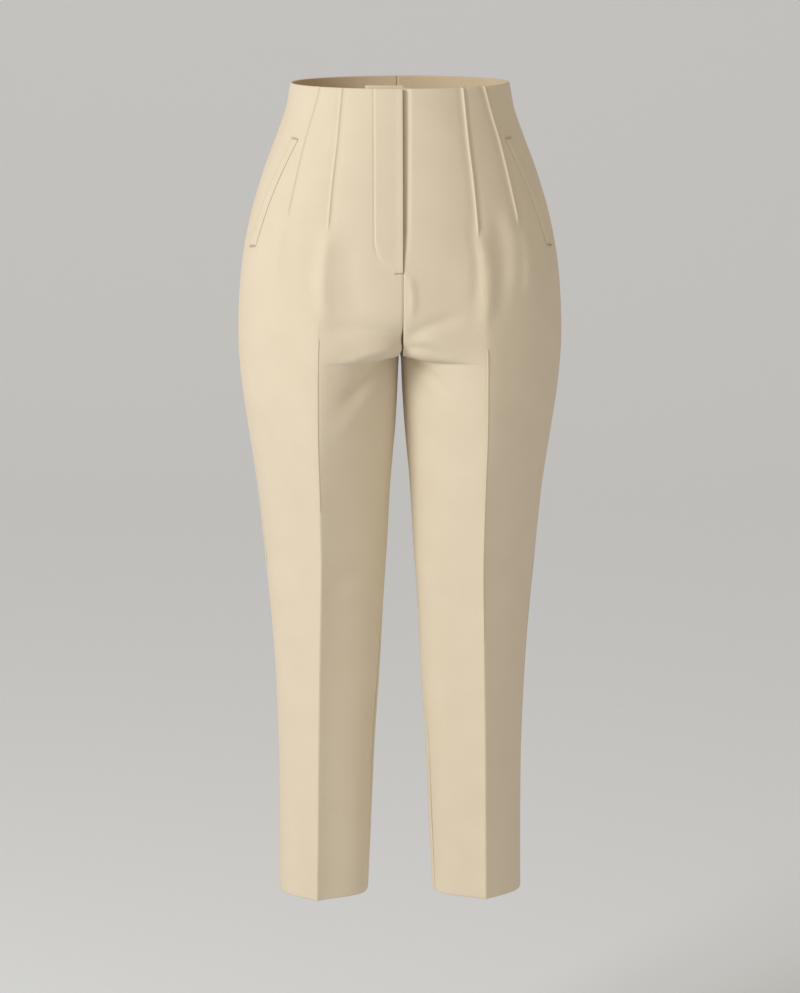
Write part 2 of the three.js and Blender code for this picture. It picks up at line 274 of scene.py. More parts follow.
SECTION_COLUMNS = (
    "z", "sideX", "sideY", "sideTilt", "tuckX",
    "frontX", "frontY", "frontOut", "frontIn", "backX", "backY", "backOut", "backIn",
)
SECTIONS = (
    (0, 126, 2, 0, 93, 68, -77, 26, -26, 62, 81, 22, -22),
    (-30, 131.5, 1, 0, 101, 71, -82, 25, -25, 65, 86, 21, -21),
    (-60, 142, 0, 1, 110, 74, -88, 24, -24, 68, 92, 21, -19),
    (-100, 157, -2, 2, 120, 79, -93.5, 22, -21, 74, 102, 22, -15),
    (-150, 172, -3, 3, 131, 84, -97.5, 20, -18, 82, 116, 26, -12),
    (-200, 182, -4, 4, 139, 88, -100, 20, -12, 88, 123, 29, -7),
    (-250, 187, -4, 5, 142, 94, -102, 24, -3, 90, 122, 30, 0),
    (-300, 188, -4, 6, 144, 97, -102.5, 28, 8, 89, 113, 30, 9),
    (-350, 184, -4, 6, 142, 97.5, -101, 30, 16, 87, 103, 30, 16),
    (-400, 176.5, -5, 7, 138, 97.3, -97.5, 32, 22, 84, 94, 31, 22),
    (-470, 166, -6, 8, 132, 95.3, -90, 34, 28, 81, 83, 33, 27),
    (-560, 157, -6, 8, 126, 94, -80, 36, 32, 78, 72, 35, 31),
    (-660, 149, -6, 8, 123, 95.8, -72.5, 38, 34, 76.5, 66, 37, 34),
    (-780, 144.5, -6, 8, 121.5, 97.6, -67.5, 39, 35, 77, 63, 38, 35),
    (-880, 143.5, -6, 8, 121.5, 98.7, -64.5, 40, 36, 78.5, 61, 39, 36),
    (-960, 143.8, -6, 8, 122, 99.8, -61.5, 40, 36, 80, 60, 39, 36),
)
CENTRE_COLUMNS = ("z", "frontY", "backY")
CENTRE = ((0, -92, 92), (-60, -101, 102), (-100, -106, 113), (-150, -109, 124), (-215, -109, 129))
INSEAM_COLUMNS = ("z", "x", "y", "tilt")
INSEAM = (
    (-313, 0.15, 8, 0), (-330, 1.9, 6, 0.5), (-360, 3.2, 2, 2), (-400, 5.6, -3, 4),
    (-465, 11.3, -9, 8), (-537, 15.8, -13, 11), (-609, 21.5, -16, 14), (-682, 26.2, -18, 16),
    (-779, 33, -20, 17), (-878, 37, -20, 18), (-960, 40.4, -20, 18),
)


def read(table, names, name, z):
    """A smooth curve through one column of a table."""
    k = names.index(name)
    if z >= table[0][0]:
        return table[0][k]
    if z <= table[-1][0]:
        return table[-1][k]
    i = max(n for n in range(len(table) - 1) if table[n][0] >= z)

    def slope(a, b):
        return (table[b][k] - table[a][k]) / (table[b][0] - table[a][0])

    here = slope(i, i + 1)
    before = (slope(i - 1, i) + here) / 2 if i > 0 else here
    after = (slope(i + 1, i + 2) + here) / 2 if i + 2 < len(table) else here
    h = table[i + 1][0] - table[i][0]
    t = (z - table[i][0]) / h
    a, b = table[i][k], table[i + 1][k]
    rise = a * (1 + 2 * t) * (1 - t) ** 2 + b * t * t * (3 - 2 * t)
    return rise + before * h * t * (1 - t) ** 2 + after * h * t * t * (t - 1)


def smooth(t):
    t = min(1.0, max(0.0, t))
    return t * t * (3 - 2 * t)


def hump(distance, half):
    """A bell curve: 1 at no distance, and near 0 at twice its half width."""
    return math.exp(-((distance / half) ** 2))


def heading(degrees):
    return Vector((math.cos(math.radians(degrees)), math.sin(math.radians(degrees))))


print("hem to rim", LENGTH, "mm,", len(SECTIONS), "level cuts")

# %% [markdown]
# Each cut is a pair of Bezier curves for the front and another for the back. Above the fork a panel
# ends at the centre seam, which curves under the body, and below it at the inner leg seam.

# %% Level cuts
SIDES = {"front": -1, "back": 1}


def inner_end(face, z):
    """Where a panel ends on the inside, and the way it leaves that point."""
    s = SIDES[face]
    if z < FORK:
        tilt = read(INSEAM, INSEAM_COLUMNS, "tilt", z)
        at = Vector((read(INSEAM, INSEAM_COLUMNS, "x", z), read(INSEAM, INSEAM_COLUMNS, "y", z)))
        return at, heading(tilt + s * 90)
    top = read(CENTRE, CENTRE_COLUMNS, face + "Y", max(z, RISE_BEND))
    t = min(1.0, max(0.0, (RISE_BEND - z) / (RISE_BEND - FORK)))
    power = 3.0 if face == "front" else 2.3
    y = FORK_Y + (top - FORK_Y) * (1 - t ** power) ** (1 / power)
    return Vector((GAP / 2, y)), heading(s * 90 * t ** power)


def section(name, z):
    return read(SECTIONS, SECTION_COLUMNS, name, z)


class Cut:
    """The level cut of a front or back panel: u is 0 at the side seam, 0.5 at the crease, 1 inside."""

    def __init__(self, face, z):
        s = SIDES[face]
        self.face = face
        side = Vector((section("sideX", z), section("sideY", z)))
        crease = Vector((section(face + "X", z), section(face + "Y", z)))
        inner, away = inner_end(face, z)
        from_side = heading(s * 90 - section("sideTilt", z))
        outward = heading(-s * section(face + "Out", z))
        inward = heading(180 + s * section(face + "In", z))
        self.curves = (
            self.handles(side, from_side, crease, outward),
            self.handles(crease, inward, inner, away),
        )
        self.length = [self.measure(curve) for curve in self.curves]

    @staticmethod
    def handles(a, da, b, db):
        h = HANDLE * (b - a).length
        return a, a + da * h, b + db * h, b

    @staticmethod
    def at(curve, t):
        a, b, c, d = curve
        s = 1 - t
        return a * s ** 3 + b * (3 * s * s * t) + c * (3 * s * t * t) + d * t ** 3

    def measure(self, curve):
        points = [self.at(curve, k / 16) for k in range(17)]
        return sum((q - p).length for p, q in zip(points, points[1:]))

    def slope(self, curve, t):
        a, b, c, d = curve
        s = 1 - t
        way = (b - a) * (s * s) + (c - b) * (2 * s * t) + (d - c) * (t * t)
        turn = SIDES[self.face]
        return Vector((turn * way.y, -turn * way.x)).normalized()

    def point(self, u):
        return self.at(self.curves[0], 2 * u) if u <= 0.5 else self.at(self.curves[1], 2 * u - 1)

    def normal(self, u):
        if abs(u - 0.5) > 1e-5:
            curve, t = (self.curves[0], 2 * u) if u < 0.5 else (self.curves[1], 2 * u - 1)
            return self.slope(curve, t)
        outer = self.slope(self.curves[0], 1)
        both = (outer + self.slope(self.curves[1], 0)).normalized()
        return both / both.dot(outer)

    def reach(self, x):
        low, high = 0.0, 1.0
        for _ in range(26):
            u = (low + high) / 2
            low, high = (u, high) if self.point(u).x > x else (low, u)
        return (low + high) / 2

    def along(self, u):
        """Distance round the cut from the side seam, in millimetres."""
        if u <= 0.5:
            return 2 * u * self.length[0]
        return self.length[0] + (2 * u - 1) * self.length[1]


cuts = {}


def cut(face, z):
    key = (face, round(min(0.0, z), 4))
    if key not in cuts:
        cuts[key] = Cut(face, key[1])
    return cuts[key]


print("hip half girth", round(sum(cut("front", -250).length) + sum(cut("back", -250).length)), "mm")

# %% [markdown]
# Worn cloth is never as plain as its pattern. These are the main creases: each row is a soft ridge
# (positive height) or trough (negative) along a line between two points of a panel, in millimetres.
# Pulls run out from the fork, pleats loosen under the tucks, and the legs give a little at the knee.

# %% Folds
FOLD_RUN_ON = 0.35
FOLD_START = 0.5
FOLD_STOP = 0.6
FOLD_BOW = 0.05
SLACK_HEIGHT = 0.7
SLACK_PITCH = 83
# Panel, the x and z where the crease starts, the x and z where it stops, half width and height.
FOLDS = (
    ("front_right", 0, -283, 74, -270, 9, -3.4),
    ("front_right", 12, -297, 64, -313, 7, 3.0),
    ("front_right", 10, -312, 60, -352, 8, -4.6),
    ("front_right", 30, -352, 70, -392, 10, 1.6),
    ("front_right", 86, -172, 89, -250, 9, 2.8),
    ("front_right", 62, -180, 56, -246, 15, -2.2),
    ("front_right", 99, -175, 103, -240, 8, -1.3),
    ("front_right", 137, -160, 143, -215, 8, 2.4),
    ("front_right", 20, -420, 60, -445, 12, -0.9),
    ("front_right", 112, -520, 150, -560, 14, -1.2),
    ("front_right", 40, -560, 84, -585, 13, -0.9),
    ("front_left", 10, -279, 56, -261, 8, -3.2),
    ("front_left", 8, -294, 46, -301, 6, -2.8),
    ("front_left", 12, -306, 52, -322, 6, 2.1),
    ("front_left", 9, -312, 45, -344, 5, -4.0),
    ("front_left", 8, -217, 10, -252, 5, 1.8),
    ("front_left", 90, -176, 95, -258, 8, 2.6),
    ("front_left", 78, -160, 82, -240, 6, -1.4),
    ("front_left", 108, -158, 113, -240, 8, -1.8),
    ("front_left", 122, -150, 126, -222, 8, 1.5),
    ("front_left", 139, -168, 145, -228, 8, 2.0),
    ("front_left", 24, -400, 66, -430, 13, -1.0),
    ("front_left", 108, -540, 148, -572, 14, -1.1),
    ("front_left", 46, -590, 86, -612, 12, -0.8),
    ("back_right", 12, -300, 78, -272, 12, -2.6),
    ("back_right", 16, -316, 92, -312, 10, -3.0),
    ("back_right", 22, -336, 96, -352, 11, 2.0),
    ("back_right", 30, -352, 84, -384, 10, -1.8),
    ("back_right", 60, -545, 128, -560, 12, -2.2),
    ("back_right", 48, -572, 116, -590, 11, 1.5),
    ("back_right", 58, -606, 124, -624, 13, -1.4),
    ("back_left", 12, -298, 70, -274, 11, -2.4),
    ("back_left", 18, -318, 98, -310, 11, -3.1),
    ("back_left", 24, -340, 90, -358, 10, 2.1),
    ("back_left", 34, -360, 92, -392, 11, -1.6),
    ("back_left", 56, -538, 120, -556, 12, -2.1),
    ("back_left", 50, -566, 126, -580, 10, 1.4),
    ("back_left", 62, -602, 118, -614, 12, -1.5),
)


def fold_lift(name, x, z):
    """How far the main creases lift a point of a panel off its plain form."""
    total = 0.0
    for piece, x0, z0, x1, z1, width, height in FOLDS:
        if piece != name:
            continue
        run = math.hypot(x1 - x0, z1 - z0)
        along = ((x - x0) * (x1 - x0) + (z - z0) * (z1 - z0)) / run / run
        if not -FOLD_RUN_ON < along < 1 + FOLD_RUN_ON:
            continue
        across = ((x - x0) * (z1 - z0) - (z - z0) * (x1 - x0)) / run
        bowed = across + FOLD_BOW * run * math.sin(math.pi * along)
        start = smooth((along + FOLD_RUN_ON) / FOLD_START)
        stop = smooth((1 + FOLD_RUN_ON - along) / FOLD_STOP)
        total += height * start * stop * hump(bowed, width)
    return total


def slack(name, u, z):
    """The slow unevenness of cloth that hangs free, growing down the leg."""
    phase = 1.3 * list(SIDES).index(name.split("_")[0]) + (0.7 if name.endswith("left") else 0.0)
    wave = math.sin(z / SLACK_PITCH + phase + 3 * u) * math.sin(math.pi * u * 2 + phase)
    return SLACK_HEIGHT * wave * smooth((-z - 120) / 200)


print(len(FOLDS), "main creases")

# %% [markdown]
# Two tucks are stitched down each front, as narrow ridges that end in a loose pleat. The back has
# one dart a side instead. The right front laps over the left one at the fly, whose edge lies lower.
# The front creases are soft at the thigh and turn sharp down the shin.
# Near each seam the cloth dips where the allowance turns under.

# %% Tucks, darts, fly and seams
OUTER_TUCK_END = {"left": -160.0, "right": -152.0}
INNER_TUCK_END = {"left": -170.0, "right": -163.0}
LOWEST_TUCK = -170.0
TUCK_HEIGHT = {"left": 2.0, "right": 1.4}
TUCK_HALF = 0.95
TUCK_FADE = 16
TUCK_VALLEYS = ((-3.6, 2.2, 0.7), (4.2, 2.6, 0.5))
FLY_WIDTH = 33.0
FLY_BEND = -169.0
FLY_END = -207.0
FLY_FADE = 4
FLY_RAISE = 1.0
FLY_GROOVE = 0.8
FLY_GROOVE_HALF = 1.0
FLY_EDGE_RAISE = 0.8
FLY_EDGE_WIDTH = 9.0
FLY_DROP = 3.3
FLY_DROP_WIDTH = 10.0
FLY_GAP = 4.6
CREASE_SHARP_RADIUS = 1.0
CREASE_SOFT_RADIUS = 8.0
CREASE_SOFT_ABOVE = -230
CREASE_SHARP_BELOW = -560
DART_END = -135.0
DART_FADE = 12
DART_DEPTH = 0.8
DART_HALF = 0.9
SEAM_DIP = 0.55
FREE_EDGE_DIP = 0.25
SEAM_HALF = 1.3
RIM_DIP = 0.5
HEM_DIP = 0.45
RIM_HALF = 1.2


def stitched_tuck(offset, z, end, height):
    """A tuck's section: a steep ridge between two shallow valleys, which fade at its end."""
    lift = height * hump(offset, TUCK_HALF)
    for middle, half, depth in TUCK_VALLEYS:
        lift -= depth * hump(offset - middle, half)
    return lift * smooth((z - end) / TUCK_FADE)


def fly_line(z):
    """Distance of the fly's stitching from the centre, which turns in an ellipse at the bottom."""
    t = min(1.0, max(0.0, (FLY_BEND - z) / (FLY_BEND - FLY_END)))
    return FLY_WIDTH * math.sqrt(1 - t * t)


def crease_round(offset, z):
    """How far the front crease, soft at the thigh and sharp at the shin, lies under a plain corner."""
    turn = math.radians(max(0.0, section("frontOut", z) + section("frontIn", z))) / 2
    down = smooth((CREASE_SOFT_ABOVE - z) / (CREASE_SOFT_ABOVE - CREASE_SHARP_BELOW))
    radius = CREASE_SOFT_RADIUS + (CREASE_SHARP_RADIUS - CREASE_SOFT_RADIUS) * down
    return math.tan(turn) * (math.hypot(offset, radius) - abs(offset))


def lap_lift(x, z):
    """The right front at the fly: a raised strip with a J of stitching sunk along its inner edge."""
    inset = x - fly_line(z)
    strip = FLY_RAISE * smooth(-inset / 2.0) - FLY_GROOVE * hump(inset, FLY_GROOVE_HALF)
    free_edge = FLY_EDGE_RAISE * smooth(1 - x / FLY_EDGE_WIDTH)
    return smooth((z - FLY_END + FLY_FADE) / (2 * FLY_FADE)) * (strip + free_edge)


def underlap_drop(x, z):
    """The left front at the fly: it lies lower by the lap's free edge, over a gap that narrows down."""
    flat = FLY_GAP * smooth((z - FLY_END) / 190)
    across = smooth((FLY_DROP_WIDTH - x) / (FLY_DROP_WIDTH - flat))
    return FLY_DROP * across * smooth((z - FLY_END) / 55)


def detail_lift(name, c, u, z):
    """All the fine relief of a panel, in millimetres outward."""
    face, hand = name.split("_")
    x = c.point(u).x
    lift = fold_lift(name, x, z) + slack(name, u, z)
    girth = c.along(1)
    here = c.along(u)
    from_crease = here - c.along(0.5)
    if face == "front":
        lift -= crease_round(from_crease, z)
        if z > LOWEST_TUCK:
            from_tuck = here - c.along(c.reach(section("tuckX", z)))
            lift += stitched_tuck(from_tuck, z, OUTER_TUCK_END[hand], TUCK_HEIGHT[hand])
            lift += stitched_tuck(from_crease, z, INNER_TUCK_END[hand], TUCK_HEIGHT[hand])
        if z > FLY_END - FLY_FADE:
            lift += lap_lift(x, z) if hand == "right" else -underlap_drop(x, z)
    elif z > DART_END:
        lift -= DART_DEPTH * smooth((z - DART_END) / DART_FADE) * hump(from_crease, DART_HALF)
    free_edge = name == "front_right" and z > FLY_END
    lift -= SEAM_DIP * hump(here, SEAM_HALF)
    lift -= (FREE_EDGE_DIP if free_edge else SEAM_DIP) * hump(girth - here, SEAM_HALF)
    lift -= RIM_DIP * hump(z, RIM_HALF) + HEM_DIP * hump(z + LENGTH, RIM_HALF)
    return lift


# %% [markdown]
# A panel starts as a flat grid. Its rows are the level cuts, close together at the rim, the hem and
# the fork, and its columns run down the panel, close together at tucks and creases. Each vertex is
# moved to its place on the form, and a Solidify modifier gives the cloth its thickness.

# %% Panel builder
EDGE_BAND = 5
TUCK_BAND = 4
FLY_BAND = 3
PANEL_THICKNESS = 1.5
LINING_THICKNESS = 0.9


def spread(stops):
    """Values that run through a list of (value, steps to the next value)."""
    out = []
    for (a, n), (b, _) in zip(stops, stops[1:]):
        out += [a + (b - a) * k / n for k in range(n)]
    return out + [stops[-1][0]]


def rows():
    top = spread([(0.0, 4), (-3.0, 74), (RISE_BEND, 1)])
    turns = [math.sin(math.radians(90 * k / 34)) for k in range(1, 34)]
    bend = [RISE_BEND + (FORK - RISE_BEND) * t for t in turns]
    leg = spread([(FORK - 1, 30), (-400, 100), (-LENGTH + 3, 4), (-LENGTH, 1)])
    return top + bend + leg


ROWS = rows()


def column_stops(face, c, z):
    """The columns that bound each run of a panel, and how many steps each run takes."""
    start = GAP / 4 / c.length[0]
    end = 1 - (GAP / 4 / c.length[1] if z < FORK else 0)
    mm = 0.5 / c.length[0]
    inner_mm = 0.5 / c.length[1]
    if face == "back":
        return [
            (start, 4), (EDGE_BAND * mm, 36), (0.5 - EDGE_BAND * mm, 12),
            (0.5 + EDGE_BAND * inner_mm, 36), (end - EDGE_BAND * inner_mm, 4), (end, 1),
        ]
    tuck = c.reach(section("tuckX", z))
    fly = cut("front", max(z, FLY_BEND)).reach(FLY_WIDTH)
    drop = cut("front", max(z, FLY_BEND)).reach(FLY_DROP_WIDTH)
    return [
        (start, 4), (EDGE_BAND * mm, 20), (tuck - TUCK_BAND * mm, 16), (tuck + TUCK_BAND * mm, 10),
        (0.5 - TUCK_BAND * mm, 8), (0.5, 8), (0.5 + TUCK_BAND * inner_mm, 16),
        (fly - FLY_BAND * inner_mm, 7), (fly + FLY_BAND * inner_mm, 10), (drop, 8),
        (end - FLY_BAND * inner_mm, 5), (end, 1),
    ]


def grid_object(name, places, uvs, material, ring=False):
    """A smooth-shaded grid whose vertices go to the given rows of places, with a UV map in metres."""
    n_rows, n_cols = len(places), len(places[0])
    bm = bmesh.new()
    bmesh.ops.create_grid(bm, x_segments=n_cols - 1, y_segments=n_rows - 1, size=0.5)
    bm.verts.ensure_lookup_table()
    layer = bm.loops.layers.uv.new("cloth")
    for k, vert in enumerate(bm.verts):
        r, c = divmod(k, n_cols)
        vert.co = Vector(places[r][c]) * MM
    for face in bm.faces:
        face.smooth = True
        for loop in face.loops:
            r, c = divmod(loop.vert.index, n_cols)
            loop[layer].uv = Vector(uvs[r][c]) * MM
    if ring:
        bmesh.ops.remove_doubles(bm, verts=bm.verts, dist=0.00002)
    mesh = bpy.data.meshes.new(name)
    bm.to_mesh(mesh)
    bm.free()
    mesh.materials.append(material)
    obj = bpy.data.objects.new(name, mesh)
    bpy.context.scene.collection.objects.link(obj)
    return obj


def face_outward(obj, outward):
    """Turns a grid's faces so that they point the way that outward gives for a face's middle."""
    mesh = obj.data
    middle = mesh.polygons[len(mesh.polygons) // 3]
    if middle.normal.dot(outward(middle.center)) < 0:
        mesh.flip_normals()


def thicken(obj, thickness):
    """Gives a sheet its thickness, on its inner side."""
    solid = obj.modifiers.new("thickness", "SOLIDIFY")
    solid.thickness = thickness * MM
    solid.offset = -1.0
    solid.use_even_offset = False


def from_axis(centre):
    """The way out from the middle of a leg or of the body."""
    x = math.copysign(0.09, centre.x) if centre.z < FORK * MM else 0.0
    return Vector((centre.x - x, centre.y, 0))


def lay(face, hand, us, z_rows, depth, detail=None):
    """Places and UVs of a sheet over columns us(z) of a panel, at a depth under its outer face."""
    mirror = 1 if hand == "left" else -1
    places, uvs = [], []
    for z in z_rows:
        c = cut(face, z)
        line, flat = [], []
        for u in us(c, z):
            lift = detail(c, u, z) if detail else 0.0
            p = c.point(u) + c.normal(u) * (lift - depth)
            line.append((mirror * p.x, p.y, z))
            flat.append((mirror * c.along(u), z))
        places.append(line)
        uvs.append(flat)
    return places, uvs


panels = {}
for face in SIDES:
    for hand in ("left", "right"):
        name = f"{face}_{hand}"
        places, uvs = lay(
            face, hand, lambda c, z, f=face: spread(column_stops(f, c, z)), ROWS, 0.0,
            lambda c, u, z, n=name: detail_lift(n, c, u, z),
        )
        panels[name] = grid_object("cloth_" + name, places, uvs, TWILL)
        face_outward(panels[name], from_axis)
        thicken(panels[name], PANEL_THICKNESS)
        print(name, len(panels[name].data.polygons), "faces")

# %% [markdown]
# The rim is faced inside with a strip of the same cloth, and each hem is turned up. Both follow the
# panels' own form a little further in. The two back facings meet at the centre.

# %% Facings and hems
FACING_DEPTH = 60.0
HEM_DEPTH = 25.0
LEFT_FACING_STOP = 14.0


def facing_rows():
    return spread([(-0.3, 3), (-2.0, 22), (-FACING_DEPTH, 1)])


facings = {}
for face in SIDES:
    for hand in ("left", "right"):
        stop = 0.0 if face == "back" else (FLY_WIDTH + 0.5 if hand == "right" else LEFT_FACING_STOP)

        def columns(c, z, f=face, x=stop):
            last = c.reach(x) if x else 1
            return spread([(GAP / 2 / c.length[0], 60), (last, 1)])

        places, uvs = lay(face, hand, columns, facing_rows(), WALL + GAP)
        if face == "back":
            places = [line[:-1] + [(0.0, *line[-1][1:])] for line in places]
        name = f"facing_{face}_{hand}"
        facings[name] = grid_object("cloth_" + name, places, uvs, REVERSE_PAINTED_BOUNCE)
        face_outward(facings[name], from_axis)
        thicken(facings[name], LINING_THICKNESS)

hems = {}
for hand in ("left", "right"):
    z_rows = spread([(-LENGTH + HEM_DEPTH, 12), (-LENGTH + 0.3, 1)])
    share = spread([(0.0, 44), (1.0, 1)])
    front, front_uv = lay("front", hand, lambda c, z: share, z_rows, WALL + GAP)
    back, back_uv = lay("back", hand, lambda c, z: share[::-1], z_rows, WALL + GAP)
    girth = cut("front", -LENGTH).along(1) + cut("back", -LENGTH).along(1)
    turned = [[(math.copysign(girth, u[0]) - u[0], u[1]) for u in line] for line in back_uv]
    hems[hand] = grid_object(
        "cloth_hem_" + hand, [a + b for a, b in zip(front, back)],
        [a + b for a, b in zip(front_uv, turned)], REVERSE_PAINTED_BOUNCE, ring=True,
    )
    face_outward(hems[hand], from_axis)
    thicken(hems[hand], LINING_THICKNESS)
print(len(facings), "facings,", len(hems), "hems")

# %% [markdown]
# Behind the lap are the fly's facing, whose J of stitching shows, the zip on its tape, and the
# shield, whose square end stands just above the rim. They lie on the front's form, one inside
# another.

# %% Fly pieces
TAPE_DEPTH = FLY_DROP + WALL + GAP
SHIELD_DEPTH = TAPE_DEPTH + 1 + GAP
SHIELD_LEFT, SHIELD_RIGHT = -42.0, 12.0
SHIELD_TOP = 3.0
SHIELD_SINK = 4.5
SHIELD_SINK_REACH = 10
SHIELD_THICKNESS = 1.3
TAPE_THICKNESS = 0.8


def lay_across(xs, z_rows, depth):
    """Like lay, but between distances from the centre plane; a sheet may cross the centre."""
    places, uvs = [], []
    for z in z_rows:
        c = cut("front", z)
        line = []
        for x in xs(z):
            u = c.reach(max(abs(x), GAP / 2))
            p = c.point(u) - c.normal(u) * depth
            line.append((x, p.y, z))
        places.append(line)
        uvs.append([(p[0], z) for p in line])
    return places, uvs


def fly_piece(name, xs, z_rows, depth, thickness, material):
    places, uvs = lay_across(xs, z_rows, depth)
    obj = grid_object("cloth_" + name, places, uvs, material)
    face_outward(obj, lambda centre: Vector((0, -1, 0)))
    thicken(obj, thickness)
    return obj


fly_facing = fly_piece(
    "fly_facing",
    lambda z: [-GAP - (min(fly_line(z), FLY_WIDTH - 4 * GAP) - 0.5) * k / 16 for k in range(17)],
    spread([(-0.4, 40), (FLY_BEND, 14), (FLY_END + 1.2, 1)]), WALL + GAP, LINING_THICKNESS, REVERSE_PAINTED_BOUNCE,
)
fly_shield = fly_piece(
    "fly_shield", lambda z: spread([(SHIELD_LEFT, 27), (SHIELD_RIGHT, 1)]),
    spread([(SHIELD_TOP, 3), (0.0, 60), (FLY_END, 1)]), SHIELD_DEPTH, SHIELD_THICKNESS, TWILL,
)
# The shield's end stands above the rim on the right side only, so its other side is let down.
for vert in fly_shield.data.vertices:
    sunk = smooth(vert.co.x / MM / 2) * smooth((vert.co.z / MM + SHIELD_SINK_REACH) / SHIELD_SINK_REACH)
    vert.co.z -= SHIELD_SINK * MM * sunk
zip_tape = fly_piece(
    "fly_zip", lambda z: spread([(-23.0, 14), (5.0, 1)]),
    spread([(-8.0, 50), (FLY_END + 4, 1)]), TAPE_DEPTH, TAPE_THICKNESS, TAPE,
)

# %% [markdown]
# A zip's teeth mesh in two rows. One tooth is a small bevelled block, and it is repeated down the
# tape, each row half a pitch from the other. The slider and its tab lie hidden behind the lap.

# %% Zip teeth, slider and tab
ZIP_X = -9.0
CHAIN_TOP = -26.0
TOOTH_PITCH = 1.6
TOOTH = (2.4, 0.5, 0.9)
SLIDER = {"size": (8.6, 1.4, 12.6), "z": -17.5, "depth": 4.15, "bevel": 0.5}
TAB = {"size": (4.6, 0.8, 19.0), "z": -34.2, "depth": 3.85, "bevel": 0.3}


def front_y(x, z, depth):
    c = cut("front", z)
    u = c.reach(max(abs(x), GAP / 2))
    return (c.point(u) - c.normal(u) * depth).y


def block(bm, size, centre, bevel):
    """A bevelled block in a bmesh, in millimetres."""
    made = bmesh.ops.create_cube(bm, size=1.0)["verts"]
    bmesh.ops.scale(bm, verts=made, vec=Vector(size) * MM)
    edges = list({e for v in made for e in v.link_edges})
    cut_edges = bmesh.ops.bevel(
        bm, geom=edges, offset=bevel * MM, affect="EDGES", segments=2, profile=0.5, material=-1
    )
    verts = list({v for f in cut_edges["faces"] for v in f.verts} | {v for v in made if v.is_valid})
    bmesh.ops.translate(bm, verts=verts, vec=Vector(centre) * MM)


def bmesh_object(name, bm, material):
    bmesh.ops.recalc_face_normals(bm, faces=bm.faces)
    for face in bm.faces:
        face.smooth = True
    mesh = bpy.data.meshes.new(name)
    bm.to_mesh(mesh)
    bm.free()
    mesh.materials.append(material)
    obj = bpy.data.objects.new(name, mesh)
    bpy.context.scene.collection.objects.link(obj)
    return obj


def zip_block(name, made):
    """One block of the zip, flat on the tape, as an object of its own."""
    bm = bmesh.new()
    centre = (ZIP_X, front_y(ZIP_X, made["z"], made["depth"]), made["z"])
    block(bm, made["size"], centre, made["bevel"])
    return bmesh_object(name, bm, BRASS)


bm = bmesh.new()
z = CHAIN_TOP
side = 1
while z > FLY_END + 8:
    block(bm, TOOTH, (ZIP_X + 0.5 * side, front_y(ZIP_X, z, TAPE_DEPTH - 0.3), z), 0.15)
    z -= TOOTH_PITCH / 2
    side = -side
zip_teeth = bmesh_object("zip_teeth", bm, BRASS)
zip_slider = zip_block("zip_slider_body", SLIDER)
zip_tab = zip_block("zip_tab", TAB)

# %% [markdown]
# The pocket mouths are slanted, and each is bound by a narrow curved welt that stands a little proud
# with rounded edges. A bar tack closes each end.

# %% Pocket welts
WELT = {"topX": 121.0, "topZ": -60.0, "lowX": 170.0, "lowZ": -183.0}
WELT_WIDTH = 7.0
WELT_BOW = 4.0
WELT_RISE = 0.7
WELT_CROWN = 0.6
WELT_STEPS = 14
WELT_THICKNESS = 0.7


def welt_middle(z):
    t = (z - WELT["topZ"]) / (WELT["lowZ"] - WELT["topZ"])
    return WELT["topX"] + (WELT["lowX"] - WELT["topX"]) * t + WELT_BOW * math.sin(math.pi * t)


def welt_edges(c, z):
    middle = welt_middle(z)
    return c.reach(middle + WELT_WIDTH / 2), c.reach(middle - WELT_WIDTH / 2)


def welt(hand):
    def columns(c, z):
        outer, inner = welt_edges(c, z)
        return [outer + (inner - outer) * k / WELT_STEPS for k in range(WELT_STEPS + 1)]

    def crown(c, u, z):
        outer, inner = (c.along(end) for end in welt_edges(c, z))
        across = 2 * (c.along(u) - outer) / (inner - outer) - 1
        return detail_lift("front_" + hand, c, u, z) + WELT_CROWN * (1 - across ** 4)

    z_rows = spread([(WELT["topZ"], 70), (WELT["lowZ"], 1)])
    places, uvs = lay("front", hand, columns, z_rows, -WELT_RISE, crown)
    obj = grid_object("cloth_pocket_welt_" + hand, places, uvs, TWILL)
    face_outward(obj, from_axis)
    thicken(obj, WELT_THICKNESS)
    return obj


welts = {hand: welt(hand) for hand in ("left", "right")}

# %% [markdown]
# Stitches are short twisted threads, about 3 mm long on a fly and almost touching on a bar tack. One
# small ball stretched along the seam makes each, and they are joined as one mesh.

# %% Stitches and bar tacks
STITCH = 2.5
STITCH_GAP = 0.9
STITCH_SINK = 1.12
THREAD_WIDTH = 0.42
TACK_PITCH = 0.5
TACK_REACH = 1.0
TACK_THREAD = 0.5


def add_stitch(bm, a, b, width):
    """One thread from point a to point b, in millimetres."""
    a, b = Vector(a), Vector(b)
    made = bmesh.ops.create_icosphere(bm, subdivisions=1, radius=0.5)["verts"]
    bmesh.ops.scale(bm, verts=made, vec=(width, width, (b - a).length * STITCH_SINK))
    turn = (b - a).to_track_quat("Z", "Y").to_matrix()
    bmesh.ops.rotate(bm, verts=made, cent=(0, 0, 0), matrix=turn)
    bmesh.ops.translate(bm, verts=made, vec=(a + b) / 2)
    bmesh.ops.scale(bm, verts=made, vec=(MM, MM, MM))


def on_front(hand, x, z, out):
    """A point of the finished front, with its relief, a little way off the cloth."""
    c = cut("front", z)
    u = c.reach(max(x, GAP / 2))
    p = c.point(u) + c.normal(u) * (detail_lift("front_" + hand, c, u, z) + out)
    return (p.x if hand == "left" else -p.x, p.y, z)


